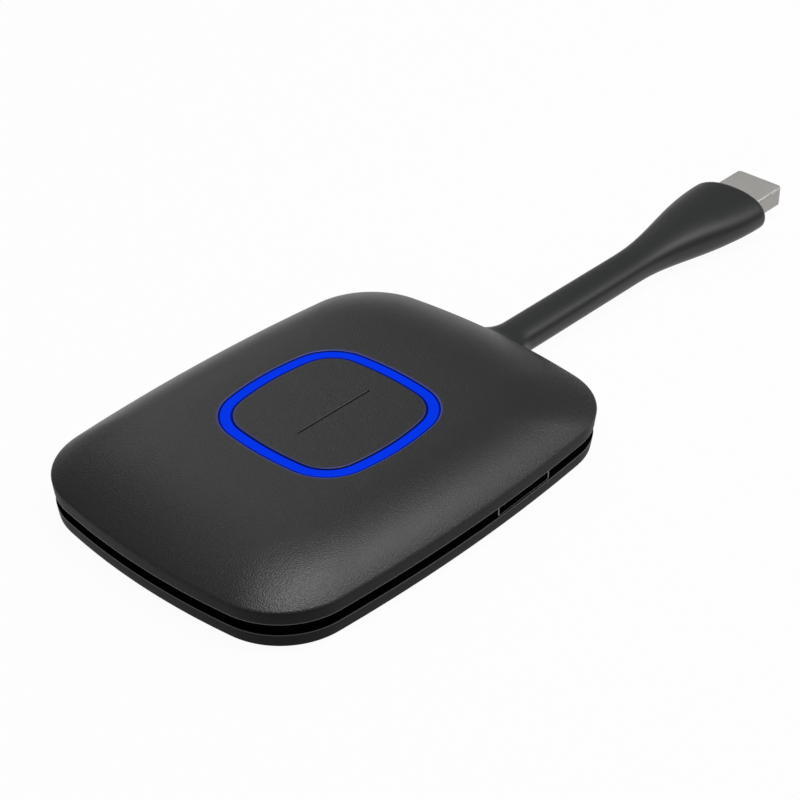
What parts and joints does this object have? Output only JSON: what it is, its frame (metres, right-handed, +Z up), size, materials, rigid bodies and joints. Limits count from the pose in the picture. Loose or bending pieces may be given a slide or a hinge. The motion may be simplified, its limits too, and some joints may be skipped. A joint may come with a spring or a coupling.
{
  "type": "wireless casting device",
  "caption": "Flat rounded casting puck with a lit ring round a push button, a micro-USB socket in its side groove and a short captive cable with a USB-A plug.",
  "frame": {"origin": "under the middle of the body, on the surface that its feet stand on", "axes": "+Y from the body towards the plug, +X towards the side with the socket, +Z up"},
  "size_m": [0.0706, 0.1864, 0.0136],
  "materials": {
    "cover_shell": "soft-touch charcoal, very fine grain",
    "base_shell": "moulded charcoal, fine grain",
    "groove_frame": "black",
    "button_cap": "soft-touch charcoal, engraved mark",
    "ring_lens": "translucent blue, satin",
    "guide_acrylic": "clear acrylic",
    "baffle_plastic": "black",
    "silicone": "translucent silicone",
    "switch_body": "moulded switch body",
    "switch_stem": "moulded stem",
    "circuit_board": "green solder mask over glass laminate",
    "chip_plastic": "chip package",
    "can_metal": "nickel plated",
    "ferrite": "pressed ferrite",
    "capacitor_can": "aluminium cans",
    "ceramic_white": "ceramic chips",
    "gap_pad": "soft thermal pad",
    "spreader_metal": "plain sheet",
    "led_body": "white LED packages",
    "header_plastic": "ivory nylon",
    "wire_jacket": "insulated wires",
    "socket_metal": "plated steel",
    "socket_insert": "black insert",
    "port_trim": "satin grey with a polished edge",
    "foot_rubber": "soft black",
    "screw_steel": "black-zinc steel",
    "clamp_steel": "sheet steel",
    "cable_jacket": "matt elastomer",
    "plug_metal": "matt nickel",
    "plug_insert": "white insert",
    "contact_gold": "gold plated"
  },
  "bodies": {
    "casing": {"top_cover": "cover_shell", "base_cover": "base_shell", "mid_frame": "groove_frame", "light_ring": "ring_lens", "light_guide": "guide_acrylic", "light_baffle": "baffle_plastic", "return_collar": "silicone", "tact_switch": "switch_body", "main_board": "circuit_board", "processor": "chip_plastic", "memory_chips": "chip_plastic", "power_chips": "chip_plastic", "crystal": "can_metal", "radio_module": "can_metal", "power_inductor": "ferrite", "capacitors": "capacitor_can", "antennas": "ceramic_white", "thermal_pad": "gap_pad", "heat_spreader": "spreader_metal", "led_set": "led_body", "cable_header": "header_plastic", "inner_wires": "wire_jacket", "micro_usb_port": "socket_metal", "port_tongue": "socket_insert", "port_bezel": "port_trim", "feet": "foot_rubber", "case_screws": "screw_steel", "board_screws": "screw_steel", "clamp_screws": "screw_steel", "cable_clamp": "clamp_steel", "cable_boot": "cable_jacket", "cable": "cable_jacket", "plug_grip": "cable_jacket", "plug_shell": "plug_metal", "plug_tongue": "plug_insert", "plug_contacts": "contact_gold"},
    "button": {"push_button": "button_cap", "switch_plunger": "switch_stem"}
  },
  "joints": [
    {"name": "button_press", "type": "slide", "parent": "casing", "child": "button", "axis": [0, 0, -1], "range_m": [0, 0.0005], "stiffness_N_per_m": 600, "springref_m": -0.001, "deforming": ["return_collar"]}
  ]
}
